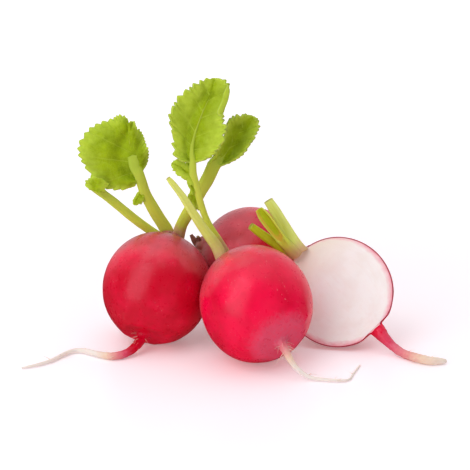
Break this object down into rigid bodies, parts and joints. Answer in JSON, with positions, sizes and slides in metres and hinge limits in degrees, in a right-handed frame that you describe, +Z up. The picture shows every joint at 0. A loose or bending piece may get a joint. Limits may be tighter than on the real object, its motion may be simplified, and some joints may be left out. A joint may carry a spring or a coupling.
{
  "type": "bunch of radishes",
  "caption": "Loose bunch of round red table radishes with thin tails and short leafy stalks, including a cut half that shows white flesh.",
  "frame": {"origin": "middle of the bunch's footprint on the surface it lies on", "axes": "+X to the right of the bunch, from the left root's tail tip to the half root's tail tip, its longest extent; +Y to its back; +Z up"},
  "size_m": [0.1289, 0.0768, 0.0827],
  "materials": {
    "radish_skin": "smooth, faintly waxy red skin",
    "radish_cut": "moist white flesh inside a thin red skin",
    "leaf_stalk": "pale green, lightly ribbed leaf stalk",
    "leaf_green": "bright green, veined leaf on its stalk"
  },
  "bodies": {
    "root": {"left_root": "radish_skin", "front_root": "radish_skin", "back_root": "radish_skin", "half_root": "radish_cut", "front_leaf_stub": "leaf_stalk", "back_leaf_stub_upper": "leaf_stalk", "back_leaf_stub_lower": "leaf_stalk", "half_leaf_stub_long": "leaf_stalk", "half_leaf_stub_hollow": "leaf_stalk", "half_leaf_stub_slim": "leaf_stalk", "left_leaf_short": "leaf_green", "left_leaf_round": "leaf_green", "left_leaf_spoon": "leaf_green", "front_leaf_tall": "leaf_green"}
  },
  "joints": []
}
